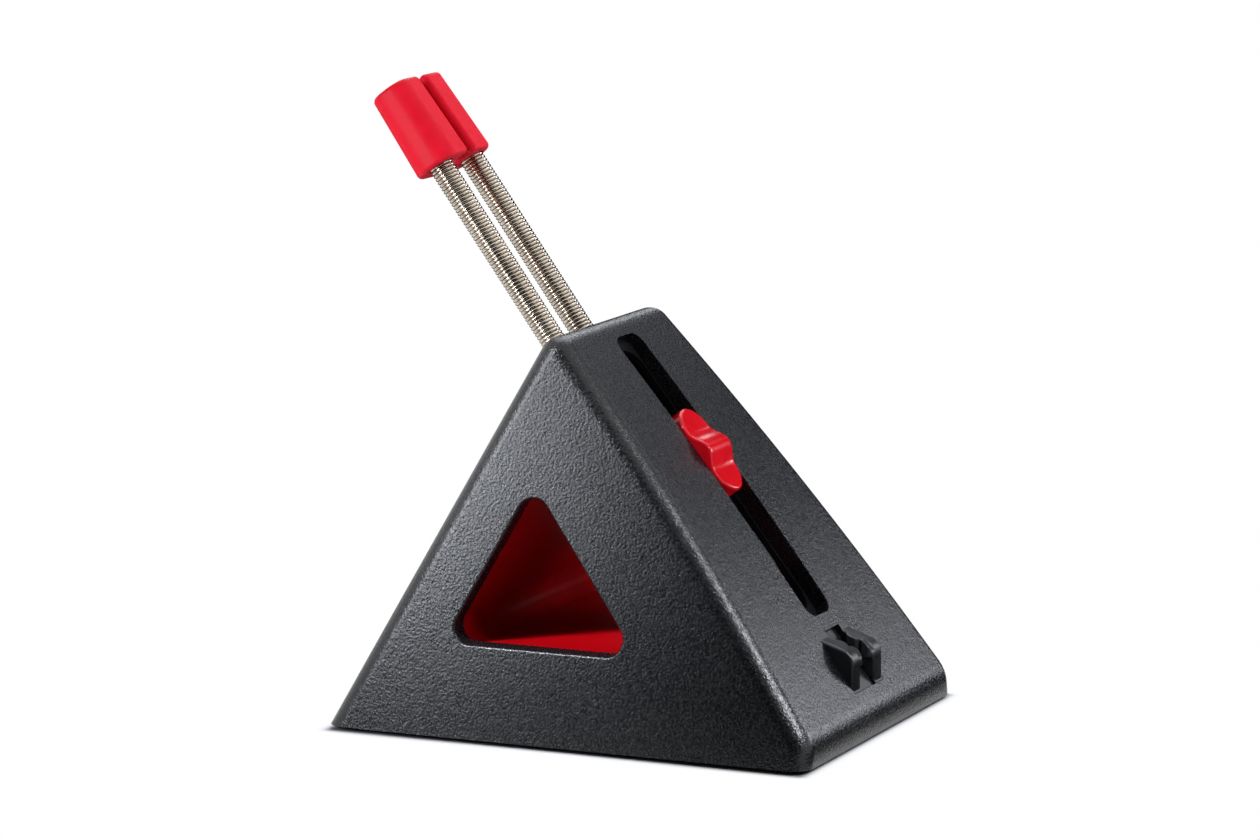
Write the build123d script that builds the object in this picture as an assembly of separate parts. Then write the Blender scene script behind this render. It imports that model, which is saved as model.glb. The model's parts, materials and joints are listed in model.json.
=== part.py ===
from build123d import *
import os
from math import atan2, cos, hypot, radians, sin, sqrt, tan

# Mouse bungee: a weighted wedge whose slider carries two springs and a cable head.
# Millimetres, +Z up, +X towards the foot of the slider's slope.
# Sizes are taken from the base's middle; the saved pieces are moved so that the origin is
# on the desk below the middle of the whole object.

# Housing
base_length = 105.0
base_depth = 82.0
ridge_height = 83.4        # sharp ridge, before its edge is rounded
ridge_offset = -8.9        # ridge from the middle of the base, along X
ridge_length = 49.4
slope_bow = 1.4            # rise of the slider's slope above its chord
slope_straight = 12.0      # straight stretch below the ridge, before the slope bows
skirt_height = 5.7         # upright lip at the foot of the slope, before rounding
foot_gap = 0.8             # housing above the desk
overall_middle = -1.95     # middle of the whole object along X, from the base's middle
edge_radius = 4.2
foot_radius = 8.0
side_wall = 4.2
back_wall = 3.0
slope_wall = 2.2
front_wall = 3.0

# Window and its liner
window_back_margin = 13.5
window_slope_margin = 20.8
window_sill = 19.3
window_corner = 3.4
window_rim = 0.5
liner_reveal = 0.6         # how far the liner stands back from the window's edge
liner_wall = 1.5

# Base
plate_recess = 0.4
plate_thickness = 2.2
plate_clearance = 0.25
boss_radius = 3.0
boss_from_back = 15.0
boss_from_front = 14.5
boss_from_side = 10.0
ballast_length = 50.0
ballast_width = 50.0
ballast_height = 8.0
ballast_shift = -7.0       # middle of the ballast along X
ballast_screw_pitch = 30.0
liner_post_width = 6.0
liner_post_across = 29.0
foot_strip_length = 62.0
foot_strip_width = 6.5
foot_strip_from_side = 9.0
foot_strip_depth = 0.8     # how far the strip sits in the plate

# Screws
screw_radius = 1.2
screw_head_radius = 2.4
screw_head_height = 1.0
screw_length = 8.0
small_screw_radius = 0.9
small_head_radius = 1.8
small_head_height = 1.2
screw_play = 0.1
screw_sides = 12

# Slot and slide, measured down the slope from the ridge
slot_start = 7.5
slot_to_clip = 3.4
slot_width = 11.4
slot_corner = 3.0
slot_side_ledge = 0.5      # ledge inside the slot, along its sides and at its ends
slot_end_ledge = 2.2
track_thickness = 1.2
track_past_slot = 1.5
track_half_width = 16.0
rail_width = 2.8
rail_setback = 2.8         # rails below the track's upper end
retainer_thickness = 1.6
retainer_setback = 1.0     # retainers inside the rails' ends
retainer_gap = 0.4         # between a retainer and the sled's sockets
ear_margin = 2.0           # retainer's ear outside its screws
ear_length = 7.0
track_screw_outside = 2.6  # track screws outside the track
track_screw_from_end = 10.6
track_boss_radius = 2.3
slide_play = 0.2

# Slider
knob_middle = 36.7
knob_length = 19.9
knob_pad_height = 0.6      # pads above the slope's surface
knob_hump_height = 2.0     # hump above the pads
knob_hump_width = 2.6
knob_hump_flank = 2.4
knob_flank_radius = 2.4
knob_edge = 0.4
neck_length = 15.0
knob_screw_pitch = 9.0
sled_above = 9.7           # sled above and below the knob's middle
sled_below = 27.9
sled_thickness = 3.8
socket_inset = 2.7         # spring sockets below the sled's upper end
socket_length = 22.0
socket_wall = 0.85
pad_from_end = 2.0         # friction pads above the sled's lower end
pad_length = 8.0
pad_width = 5.0
pad_height = 1.4
pad_proud = 0.1
pad_across = 7.5

# Arm, measured up its own axis from the foot of the ridge's perpendicular
arm_lean = 36.0            # from upright
arm_depth = 10.1           # arm axis below the sharp ridge
spring_spacing = 14.4
spring_diameter = 5.2
spring_wire = 0.75
spring_seat = 12.0         # length of each spring in its socket
spring_in_head = 9.9
spring_play = 0.1
pin_below = 7.0            # anchor pin below and above the spring's lower end
pin_above = 10.0
pin_play = 0.08
exit_clearance = 0.5
travel_spare = 0.7         # knob short of the slot's ends at its limits

# Cable head
head_start = 41.6
head_length = 19.0
head_width = 22.6
head_back = 5.8            # from the arm axis to the rounded back
head_front = 4.7           # from the arm axis to the flat front
head_back_radius = 5.1
head_front_radius = 4.4
head_edge = 0.8
head_taper = 2.0           # each side, degrees
groove_radius = 2.05
groove_out = 1.5           # middle of the cable channel, in front of the arm axis
groove_mouth = 2.1

# Cable clip
clip_from_heel = 4.8       # clip's lower end, up the slope from its sharp foot
clip_margin = 0.2          # clip above the fins' upper ends
clip_width = 15.8
clip_recess = 0.4          # clip's floor below the slope's chord
clip_flange = 1.2
clip_flange_thickness = 1.0
clip_play = 0.15
fin_thickness = 3.9
fin_height = 8.0
fin_drop = 18.0            # fall of the fins' top edge, degrees
fin_peak_radius = 3.6
fin_from_end = 0.2
lobe_radius = 1.7
lobe_sunk = 0.1            # middle of a grip lobe, behind the fin's inner face
lobe_depth = 3.2           # grip lobe below the fin's top edge
lobe_from_front = 1.3
lobe_pitch = 3.2

# Frames and slopes that follow from these sizes
back_run = (ridge_offset + base_length / 2) / ridge_height
side_run = (base_depth - ridge_length) / 2 / ridge_height
apex = (ridge_offset, ridge_height)
heel = (base_length / 2, skirt_height)
chord = hypot(heel[0] - apex[0], apex[1] - heel[1])
slope_lean = atan2(heel[0] - apex[0], apex[1] - heel[1])
bow_run = chord - slope_straight
bow_lean = slope_bow / (slope_straight + bow_run**2 / (4 * chord))
slide_up = (-sin(slope_lean), cos(slope_lean))
slide_out = (cos(slope_lean), sin(slope_lean))
slide_frame = Plane(
    origin=(apex[0], 0, apex[1]), x_dir=(slide_up[0], 0, slide_up[1]), z_dir=(slide_out[0], 0, slide_out[1])
)
lean = radians(arm_lean)
arm_up = (-sin(lean), cos(lean))
arm_out = (cos(lean), sin(lean))
arm_foot = (apex[0] - arm_out[0] * arm_depth, apex[1] - arm_out[1] * arm_depth)
arm_frame = Plane(
    origin=(arm_foot[0], 0, arm_foot[1]), x_dir=(arm_up[0], 0, arm_up[1]), z_dir=(arm_out[0], 0, arm_out[1])
)
plate_low = foot_gap + plate_recess
plate_top = plate_low + plate_thickness
spring_radius = spring_diameter / 2
half_spacing = spring_spacing / 2
pin_radius = spring_radius - spring_wire - 2 * pin_play
drift = slope_lean - lean
track_top = -slope_wall
track_low = track_top - track_thickness
sled_top = track_low - slide_play
sled_low = sled_top - sled_thickness
retainer_top = sled_low - slide_play
retainer_low = retainer_top - retainer_thickness
reach = 2 * (base_length + base_depth)
hair = 0.01                # slack when edges are picked by their place


def back_x(z, inset=0.0):
    return -base_length / 2 + back_run * z + inset * sqrt(1 + back_run**2)


def half_depth(z, inset=0.0):
    return base_depth / 2 - side_run * z - inset * sqrt(1 + side_run**2)


def bow_at(distance):
    past = max(0.0, distance - slope_straight) / bow_run
    return bow_lean * (distance - chord * past**2)


def meet(start, along, other, other_along):
    # Crossing of two lines in the X-Z plane
    cross = along[0] * other_along[1] - along[1] * other_along[0]
    step = ((other[0] - start[0]) * other_along[1] - (other[1] - start[1]) * other_along[0]) / cross
    return (start[0] + along[0] * step, start[1] + along[1] * step)


def on_slope(distance, out=0.0):
    # Point in the X-Z plane, down the slope's chord from the ridge and out from it
    return (
        apex[0] - slide_up[0] * distance + slide_out[0] * out,
        apex[1] - slide_up[1] * distance + slide_out[1] * out,
    )


def arm_depth_at(distance):
    # Arm axis below the slope's chord, at a distance down the slope
    return arm_depth * cos(drift) + distance * sin(drift)


clip_end = chord - clip_from_heel
fin_foot = on_slope(clip_end - fin_from_end)
fin_peak = (fin_foot[0], fin_foot[1] + fin_height)
fin_fall = (-cos(radians(fin_drop)), sin(radians(fin_drop)))
fin_root = meet(fin_peak, fin_fall, apex, slide_up)
clip_start = hypot(fin_root[0] - apex[0], fin_root[1] - apex[1]) - clip_margin
clip_length = clip_end - clip_start
slot_end = clip_start - slot_to_clip
slot_length = slot_end - slot_start
track_start = slot_start - track_past_slot
track_end = slot_end + track_past_slot
rail_start = track_start + rail_setback
retainer_start = rail_start + retainer_setback
retainer_end = track_end - retainer_setback
track_screw_across = track_half_width + track_screw_outside
ear_reach = track_screw_across + ear_margin
sled_start = knob_middle - sled_above
sled_end = knob_middle + sled_below
socket_start = sled_start + socket_inset
socket_end = socket_start + socket_length
socket_radius = spring_radius + spring_play + socket_wall
socket_low = -arm_depth_at(socket_end) - socket_radius
retainer_gap_half = half_spacing + socket_radius + retainer_gap
spring_start = -socket_start - spring_seat
spring_end = head_start + spring_in_head
travel_up = knob_middle - knob_length / 2 - slot_start - travel_spare
travel_down = slot_end - knob_middle - knob_length / 2 - travel_spare


def slab(outline, low, high):
    return extrude(Plane.XY.offset(low) * outline, high - low)


def post(radius, low, high, x=0.0, y=0.0):
    return slab(Pos(x, y) * Circle(radius), low, high)


def rod(radius, start, end, across=0.0, out=0.0):
    return extrude(Plane.YZ.offset(start) * Pos(across, out) * Circle(radius), end - start)


def block(x_low, x_high, y_low, y_high, z_low, z_high):
    outline = Pos((x_low + x_high) / 2, (y_low + y_high) / 2) * Rectangle(x_high - x_low, y_high - y_low)
    return slab(outline, z_low, z_high)


def screw(radius, head_radius, head_height, length):
    # Screw pointing up, with the underside of its head at the origin
    head = slab(RegularPolygon(head_radius, screw_sides), -head_height, 0)
    return head + slab(RegularPolygon(radius, screw_sides), 0, length)


def side_prism(inset, low):
    # Everything between the two leaning sides, moved in by the inset
    top = ridge_height + edge_radius
    corners = [
        (-half_depth(low, inset), low),
        (half_depth(low, inset), low),
        (half_depth(top, inset), top),
        (-half_depth(top, inset), top),
    ]
    return extrude(Plane.YZ * Polygon(*corners, align=None), reach, both=True)


def window_outline(grow):
    back = (back_x(0, window_back_margin - grow), 0)
    slope = on_slope(0, grow - window_slope_margin)
    sill = (0, window_sill - grow)
    corners = [
        meet(back, (back_run, 1), sill, (1, 0)),
        meet(slope, slide_up, sill, (1, 0)),
        meet(slope, slide_up, back, (back_run, 1)),
    ]
    outline = Polygon(*corners, align=None)
    return Plane.XZ * fillet(outline.vertices(), window_corner + grow)


def outer_wedge():
    toe = (back_x(foot_gap), foot_gap)
    heel_foot = (heel[0], foot_gap)
    bend = on_slope(slope_straight, bow_at(slope_straight))
    slope = Line(apex, bend) + TangentArc(bend, heel, tangent=(bend[0] - apex[0], bend[1] - apex[1]))
    outline = make_face(Line(toe, apex) + slope + Line(heel, heel_foot) + Line(heel_foot, toe))
    solid = extrude(Plane.XZ * outline, base_depth, both=True) & side_prism(0, foot_gap)
    foot_edge = solid.edges().filter_by(Axis.Y).filter_by_position(Axis.X, heel[0] - hair, heel[0] + hair)
    foot_edge = foot_edge.filter_by_position(Axis.Z, skirt_height - hair, skirt_height + hair)
    solid = fillet(foot_edge, foot_radius)
    upright = solid.edges().filter_by(lambda edge: edge.center().Z > foot_gap + hair)
    side = upright.filter_by(lambda edge: abs(edge.tangent_at(0.5).Y) < 0.9)
    ridge = upright.filter_by(Axis.Y).sort_by(Axis.Z)[-1:]
    return fillet(side + ridge, edge_radius)


def cavity():
    low = -foot_gap
    back = (back_x(low, back_wall), low)
    slope = on_slope(0, -slope_wall)
    front = (heel[0] - front_wall, low)
    corners = [
        back,
        front,
        meet(slope, slide_up, front, (0, 1)),
        meet(slope, slide_up, back, (back_run, 1)),
    ]
    prism = extrude(Plane.XZ * Polygon(*corners, align=None), base_depth, both=True)
    return prism & side_prism(side_wall, low)


def boss_places():
    places = []
    for x in (-base_length / 2 + boss_from_back, base_length / 2 - boss_from_front):
        for y in (-base_depth / 2 + boss_from_side, base_depth / 2 - boss_from_side):
            places.append((x, y))
    return places


def track_screw_places(side):
    downs = (track_start + track_screw_from_end, track_end - track_screw_from_end)
    return [(-down, side * track_screw_across) for down in downs]


def exit_opening():
    # Wide enough for both springs, and tall enough for their drift as the slider moves
    least, most = sorted((-travel_down * sin(drift), travel_up * sin(drift)))
    low = least - spring_radius - exit_clearance
    high = most + spring_radius + exit_clearance
    width = spring_spacing + spring_diameter + 2 * exit_clearance
    outline = Pos(0, (low + high) / 2) * RectangleRounded(width, high - low, spring_radius)
    return arm_frame * extrude(Plane.YZ.offset(-arm_depth - back_wall) * outline, 3 * (arm_depth + back_wall))


def make_housing():
    outer = outer_wedge()
    shell = outer - cavity()
    for x, y in boss_places():
        shell += post(boss_radius, plate_top, ridge_height, x, y) & outer
        shell -= post(screw_radius + screw_play, plate_low, plate_low + screw_length, x, y)
    for x, y in track_screw_places(-1) + track_screw_places(1):
        shell += slide_frame * post(track_boss_radius, retainer_top, track_top + slope_wall / 2, x, y)
        shell -= slide_frame * post(small_screw_radius + screw_play, retainer_top, track_top, x, y)
    shell -= extrude(window_outline(0), base_depth, both=True)
    shell = chamfer(shell.edges().filter_by(on_window_rim), window_rim)
    slot = Pos(-slot_start - slot_length / 2, 0) * RectangleRounded(slot_length, slot_width, slot_corner)
    shell -= slide_frame * slab(slot, track_low, slope_bow + edge_radius)
    clip_middle = -(clip_start + clip_end) / 2
    clip_hole = Pos(clip_middle, 0) * Rectangle(clip_length, clip_width)
    shell -= slide_frame * slab(clip_hole, track_low, slope_bow + edge_radius)
    shell -= exit_opening()
    return shell


def on_window_rim(edge):
    # Edges of the window that lie on the outer faces of the two sides
    middle = edge.center()
    if abs(abs(middle.Y) - half_depth(middle.Z)) > window_rim / 10:
        return False
    box = edge.bounding_box()
    inside = box.min.Z > window_sill - window_rim and box.max.X < heel[0] - window_slope_margin / 2
    return inside and box.min.X > back_x(middle.Z, window_back_margin / 2)


def make_window_liner():
    tube = extrude(window_outline(liner_reveal + liner_wall), base_depth, both=True)
    tube -= extrude(window_outline(liner_reveal), base_depth, both=True)
    return tube & side_prism(side_wall, 0)


def foot_at(side):
    return Pos(0, side * (base_depth / 2 - foot_strip_from_side))


def ballast_screw_places():
    return [ballast_shift + side * ballast_screw_pitch / 2 for side in (-1, 1)]


def liner_post_places():
    return [(ballast_shift, -liner_post_across), (ballast_shift, liner_post_across)]


def make_base_plate():
    back = back_x(plate_top, back_wall) + plate_clearance
    slope_front = meet(on_slope(0, -slope_wall), slide_up, (0, plate_top), (1, 0))[0]
    front = min(slope_front, heel[0] - front_wall) - plate_clearance
    half = half_depth(plate_top, side_wall) - plate_clearance
    plate = block(back, front, -half, half, plate_low, plate_top)
    for x, y in boss_places():
        plate -= post(screw_radius + screw_play, plate_low, plate_top, x, y)
    for side in (-1, 1):
        recess = foot_at(side) * SlotOverall(foot_strip_length, foot_strip_width)
        plate -= slab(recess, plate_low, plate_low + foot_strip_depth)
    for x in ballast_screw_places():
        plate -= post(screw_radius + screw_play, plate_low, plate_top, x)
    rest = Rectangle(liner_post_width, liner_post_width)
    for x, y in liner_post_places():
        plate += slab(Pos(x, y) * rest, plate_top, window_sill - liner_reveal - liner_wall)
    return plate


def make_ballast():
    outline = Pos(ballast_shift, 0) * Rectangle(ballast_length, ballast_width)
    weight = slab(outline, plate_top, plate_top + ballast_height)
    for x in ballast_screw_places():
        weight -= post(screw_radius + screw_play, plate_top, plate_low + screw_length, x)
    return weight


def base_screw_at(x, y):
    return Pos(x, y, plate_low) * screw(screw_radius, screw_head_radius, screw_head_height, screw_length)


def make_rubber_foot(side):
    outline = foot_at(side) * SlotOverall(foot_strip_length - screw_play, foot_strip_width - screw_play)
    return slab(outline, 0, plate_low + foot_strip_depth)


def make_slide_track():
    plate = block(-track_end, -track_start, -track_half_width, track_half_width, track_low, track_top)
    for side in (-1, 1):
        inner = track_half_width - rail_width
        low, high = sorted((side * inner, side * track_half_width))
        plate += block(-track_end, -rail_start, low, high, retainer_top, track_low)
    slot = SlotOverall(slot_length - 2 * slot_end_ledge, slot_width - 2 * slot_side_ledge)
    plate -= slab(Pos(-slot_start - slot_length / 2, 0) * slot, track_low, track_top)
    return slide_frame * plate


def make_track_retainer(side):
    # Bar that holds one edge of the sled up, with an ear for each of its two screws
    edges = sorted((side * retainer_gap_half, side * track_half_width))
    bar = block(-retainer_end, -retainer_start, *edges, retainer_low, retainer_top)
    for x, y in track_screw_places(side):
        ear = sorted((side * retainer_gap_half, side * ear_reach))
        bar += block(x - ear_length / 2, x + ear_length / 2, *ear, retainer_low, retainer_top)
    for x, y in track_screw_places(side):
        bar -= post(small_screw_radius + screw_play, retainer_low, retainer_top, x, y)
    return slide_frame * bar


def track_screw_at(x, y):
    length = track_top - retainer_low - screw_play
    fixing = screw(small_screw_radius, small_head_radius, small_head_height, length)
    return slide_frame * Pos(x, y, retainer_low) * fixing


def knob_top():
    return bow_at(knob_middle) + knob_pad_height


def knob_screw_places():
    return [-knob_middle + side * knob_screw_pitch / 2 for side in (-1, 1)]


def make_slider_knob():
    half = knob_length / 2
    low = track_top + slide_play
    pad = knob_top()
    hump = pad + knob_hump_height
    crest = knob_hump_width / 2
    flank = crest + knob_hump_flank
    side_view = Polygon(
        (-half, low), (half, low), (half, pad), (flank, pad), (crest, hump),
        (-crest, hump), (-flank, pad), (-half, pad), align=None,
    )
    soft = side_view.vertices().filter_by(lambda v: abs(v.X) < half - hair)
    side_view = fillet(soft, knob_flank_radius)
    plan = SlotOverall(knob_length, slot_width - 2 * slide_play)
    solid = extrude(Plane.XZ * side_view, slot_width, both=True) & slab(plan, low, hump)
    upper = solid.edges().filter_by(lambda edge: edge.center().Z > pad - hair)
    solid = chamfer(upper.filter_by(lambda edge: abs(edge.center().Y) > knob_edge), knob_edge)
    neck = SlotOverall(neck_length, slot_width - 2 * slot_side_ledge - 2 * slide_play)
    solid += slab(neck, sled_top, low)
    for side in (-1, 1):
        x = side * knob_screw_pitch / 2
        solid -= post(small_screw_radius + screw_play, sled_top, pad - knob_pad_height, x)
    return slide_frame * Pos(-knob_middle, 0) * solid


def pad_places():
    x = -sled_end + pad_from_end + pad_length / 2
    return [(x, side * pad_across) for side in (-1, 1)]


def make_slider_sled():
    half = track_half_width - rail_width - slide_play
    sled = block(-sled_end, -sled_start, -half, half, sled_low, sled_top)
    for side in (-1, 1):
        across = side * half_spacing
        edges = (across - socket_radius, across + socket_radius)
        sled += block(-socket_end, -socket_start, *edges, socket_low, sled_low)
    sled = slide_frame * sled
    for side in (-1, 1):
        across = side * half_spacing
        sled -= arm_frame * rod(spring_radius + spring_play, spring_start, 0, across)
        sled -= arm_frame * rod(pin_radius + pin_play, spring_start - pin_below, spring_start, across)
    for x in knob_screw_places():
        sled -= slide_frame * post(small_screw_radius + screw_play, sled_low, sled_top, x)
    for x, y in pad_places():
        recess = Pos(x, y) * Rectangle(pad_length + screw_play, pad_width + screw_play)
        sled -= slide_frame * slab(recess, sled_top - pad_height + pad_proud, sled_top)
    return sled


def knob_screw_at(x):
    length = knob_top() - knob_pad_height - sled_low - screw_play
    fixing = screw(small_screw_radius, small_head_radius, small_head_height, length)
    return slide_frame * Pos(x, 0, sled_low) * fixing


def make_friction_pads():
    low = sled_top - pad_height + pad_proud
    return [
        slide_frame * slab(Pos(x, y) * Rectangle(pad_length, pad_width), low, sled_top + pad_proud)
        for x, y in pad_places()
    ]


def make_spring(side):
    tube = rod(spring_radius, spring_start, spring_end, side * half_spacing)
    tube -= rod(spring_radius - spring_wire, spring_start, spring_end, side * half_spacing)
    return arm_frame * tube


def make_anchor_pin(side):
    low, high = spring_start - pin_below, spring_start + pin_above
    return arm_frame * rod(pin_radius, low, high, side * half_spacing)


def make_cable_head():
    middle = (head_front - head_back) / 2
    outline = Pos(0, middle) * Rectangle(head_width, head_front + head_back)
    corners = outline.vertices()
    outline = fillet(corners.filter_by(lambda v: v.Y < 0), head_back_radius)
    front = outline.vertices().filter_by(lambda v: v.Y > head_front - hair)
    outline = fillet(front, head_front_radius)
    head = extrude(Plane.YZ.offset(head_start) * outline, head_length, taper=head_taper)
    head = chamfer(head.faces().filter_by(Axis.X).edges(), head_edge)
    head -= rod(groove_radius, head_start, head_start + head_length, 0, groove_out)
    half_mouth = groove_mouth / 2
    head -= block(head_start, head_start + head_length, -half_mouth, half_mouth, groove_out, head_front)
    for side in (-1, 1):
        head -= rod(spring_radius + spring_play, head_start, spring_end + spring_play, side * half_spacing)
    return arm_frame * head


def fin_outline():
    # Seen along Y: upright lower end, gently falling top, rounded peak
    sunk = on_slope(clip_end - fin_from_end, -slope_wall)
    root_sunk = on_slope(clip_start + clip_margin, -slope_wall)
    outline = Polygon(sunk, fin_foot, fin_peak, fin_root, root_sunk, align=None)
    tip = outline.vertices().sort_by(Axis.X)[-2:].sort_by(Axis.Y)[-1:]
    return fillet(tip, fin_peak_radius)


def make_cable_clip():
    middle = -(clip_start + clip_end) / 2
    body = Pos(middle, 0) * Rectangle(clip_length - 2 * clip_play, clip_width - 2 * clip_play)
    flange = Pos(middle, 0) * Rectangle(clip_length + 2 * clip_flange, clip_width + 2 * clip_flange)
    clip = slab(body, track_top, -clip_recess) + slab(flange, track_top - clip_flange_thickness, track_top)
    clip = slide_frame * clip
    outer = clip_width / 2 - clip_play
    inner = outer - fin_thickness
    trim = extrude(Plane.XZ * fin_outline(), clip_width, both=True)
    for side in (-1, 1):
        clip += trim & block(-reach, reach, *sorted((side * inner, side * outer)), 0, reach)
        for back in (lobe_from_front, lobe_from_front + lobe_pitch):
            low = fin_peak[1] + back * tan(radians(fin_drop)) - lobe_depth
            clip += trim & post(lobe_radius, low, reach, fin_peak[0] - back, side * (inner + lobe_sunk))
    return clip


def save(name, *shapes):
    moved = [Pos(-overall_middle, 0, 0) * shape for shape in shapes]
    group = moved[0] if len(moved) == 1 else Compound(children=moved)
    export_step(group, os.path.join("parts", name + ".step"))


os.makedirs("parts", exist_ok=True)
save("housing", make_housing())
save("window_liner", make_window_liner())
save("base_plate", make_base_plate())
save("ballast_weight", make_ballast())
save("ballast_screws", *[base_screw_at(x, 0) for x in ballast_screw_places()])
save("base_screws", *[base_screw_at(x, y) for x, y in boss_places()])
save("rubber_foot_near", make_rubber_foot(-1))
save("rubber_foot_far", make_rubber_foot(1))
save("slide_track", make_slide_track())
save("track_retainer_near", make_track_retainer(1))
save("track_retainer_far", make_track_retainer(-1))
save("track_screws", *[track_screw_at(x, y) for x, y in track_screw_places(-1) + track_screw_places(1)])
save("cable_clip", make_cable_clip())
save("slider_knob", make_slider_knob())
save("slider_sled", make_slider_sled())
save("knob_screws", *[knob_screw_at(x) for x in knob_screw_places()])
save("friction_pads", *make_friction_pads())
save("anchor_pin_near", make_anchor_pin(1))
save("anchor_pin_far", make_anchor_pin(-1))
save("spring_near", make_spring(1))
save("spring_far", make_spring(-1))
save("cable_head", make_cable_head())
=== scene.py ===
import json
from math import atan2, cos, pi, radians, sin, sqrt, tan

import bmesh
import bpy
from mathutils import Matrix, Vector


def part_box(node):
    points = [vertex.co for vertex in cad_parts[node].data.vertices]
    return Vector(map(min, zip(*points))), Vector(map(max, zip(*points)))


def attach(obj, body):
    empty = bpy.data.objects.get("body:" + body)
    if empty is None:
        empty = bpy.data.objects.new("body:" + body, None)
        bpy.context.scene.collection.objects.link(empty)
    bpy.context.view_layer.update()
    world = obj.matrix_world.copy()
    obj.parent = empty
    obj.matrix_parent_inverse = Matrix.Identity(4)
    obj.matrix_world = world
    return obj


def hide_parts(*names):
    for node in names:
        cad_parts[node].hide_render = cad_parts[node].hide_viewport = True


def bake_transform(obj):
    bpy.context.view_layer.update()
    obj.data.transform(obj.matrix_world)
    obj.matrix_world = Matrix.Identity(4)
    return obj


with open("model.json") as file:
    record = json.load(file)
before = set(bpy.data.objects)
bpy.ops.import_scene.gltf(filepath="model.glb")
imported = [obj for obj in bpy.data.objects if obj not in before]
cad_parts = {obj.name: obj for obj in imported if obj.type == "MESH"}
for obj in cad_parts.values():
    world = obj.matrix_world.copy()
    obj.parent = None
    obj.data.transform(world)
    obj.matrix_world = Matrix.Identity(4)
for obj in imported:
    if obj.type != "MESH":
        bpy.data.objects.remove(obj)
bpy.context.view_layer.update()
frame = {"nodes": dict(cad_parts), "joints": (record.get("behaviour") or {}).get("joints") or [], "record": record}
nodes = frame["nodes"]
mm = 0.001
print("frame loaded:", len(nodes), "nodes")


# directions shared with the frame
def mountNamed(name):
    return next(m for m in frame["record"]["mounts"] if m["name"] == name)


def jointNamed(name):
    return next(j for j in frame["joints"] if j["name"] == name)


def leaningFrame(origin, up):
    # x across towards the camera's side, y out of the slope, z up along it
    out = Vector((up.z, 0, -up.x))
    turn = Matrix((out.cross(up), out, up)).transposed()
    return Matrix.Translation(origin) @ turn.to_4x4()


# sizes in millimetres
arm = {"grooveAlong": 51.1, "grooveOut": 1.5, "springSpacing": 14.4}
slope = {"ridgeX": -6.95, "ridgeZ": 83.4, "length": 99.03, "bow": 1.4, "straight": 12.0}
wedge = {"length": 105.0, "depth": 82.0, "ridgeLength": 49.4, "middleX": 1.95}

armUp = Vector(mountNamed("cable_groove")["axis"]).normalized()
armOut = Vector((armUp.z, 0, -armUp.x))
armOrigin = Vector(mountNamed("cable_groove")["pos_m"])
armOrigin -= (armUp * arm["grooveAlong"] + armOut * arm["grooveOut"]) * mm
armFrame = leaningFrame(armOrigin, armUp)

slideUp = Vector(jointNamed("height_slide")["axis"]).normalized()
ridge = Vector((slope["ridgeX"], 0, slope["ridgeZ"])) * mm
slideFrame = leaningFrame(ridge, slideUp)


def backRun():
    # how far the back leans for each length upwards
    return (slope["ridgeX"] - wedge["middleX"] + wedge["length"] / 2) / slope["ridgeZ"]


def bowAt(distance):
    # rise of the slope's surface above its chord, down from the ridge
    run = slope["length"] - slope["straight"]
    lean = slope["bow"] / (slope["straight"] + run ** 2 / (4 * slope["length"]))
    past = max(0.0, distance - slope["straight"]) / run
    return lean * (distance - slope["length"] * past ** 2)


# shader and geometry node wiring
class Wire:
    def __init__(self, socket):
        self.socket = socket
        self.tree = socket.id_data

    def node(self, kind, settings=None, sockets=None, output=0):
        made = self.tree.nodes.new(kind)
        for key, value in (settings or {}).items():
            setattr(made, key, value)
        for key, value in (sockets or {}).items():
            feed(made.inputs[key], value)
        return Wire(made.outputs[output])

    def maths(self, operation, left, right):
        return self.node("ShaderNodeMath", {"operation": operation}, {0: left, 1: right})

    def __add__(self, other):
        return self.maths("ADD", self, other)

    def __radd__(self, other):
        return self.maths("ADD", other, self)

    def __sub__(self, other):
        return self.maths("SUBTRACT", self, other)

    def __rsub__(self, other):
        return self.maths("SUBTRACT", other, self)

    def __mul__(self, other):
        return self.maths("MULTIPLY", self, other)

    def __rmul__(self, other):
        return self.maths("MULTIPLY", other, self)

    def __truediv__(self, other):
        return self.maths("DIVIDE", self, other)

    def __rtruediv__(self, other):
        return self.maths("DIVIDE", other, self)


def feed(socket, value):
    if isinstance(value, Wire):
        socket.id_data.links.new(value.socket, socket)
    else:
        socket.default_value = value


def rgba(colour):
    return (*colour, 1.0)


def newMaterial(name, fixed):
    # fixed values go on the shader's own sockets
    material = bpy.data.materials.new(name)
    material.use_nodes = True
    tree = material.node_tree
    tree.nodes.clear()
    shader = tree.nodes.new("ShaderNodeBsdfPrincipled")
    for key, value in fixed.items():
        shader.inputs[key].default_value = value
    output = tree.nodes.new("ShaderNodeOutputMaterial")
    tree.links.new(shader.outputs[0], output.inputs["Surface"])
    place = Wire(tree.nodes.new("ShaderNodeTexCoord").outputs["Object"])
    return material, shader, place


def noise(place, size, detail=3.0, roughness=0.55):
    # size is the width of one patch in millimetres
    return place.node("ShaderNodeTexNoise", {"noise_dimensions": "3D"}, {
        "Vector": place, "Scale": 1 / (size * mm), "Detail": detail, "Roughness": roughness})


def pebbles(place, size, smoothness=0.6):
    return place.node("ShaderNodeTexVoronoi", {"feature": "SMOOTH_F1"}, {
        "Vector": place, "Scale": 1 / (size * mm), "Smoothness": smoothness, "Randomness": 1.0})


def average(first, second):
    return first * 0.5 + second * 0.5


def between(wire, low, high, fromLow=0.3, fromHigh=0.7):
    return wire.node("ShaderNodeMapRange", {"clamp": True}, {
        "Value": wire, "From Min": fromLow, "From Max": fromHigh, "To Min": low, "To Max": high})


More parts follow.
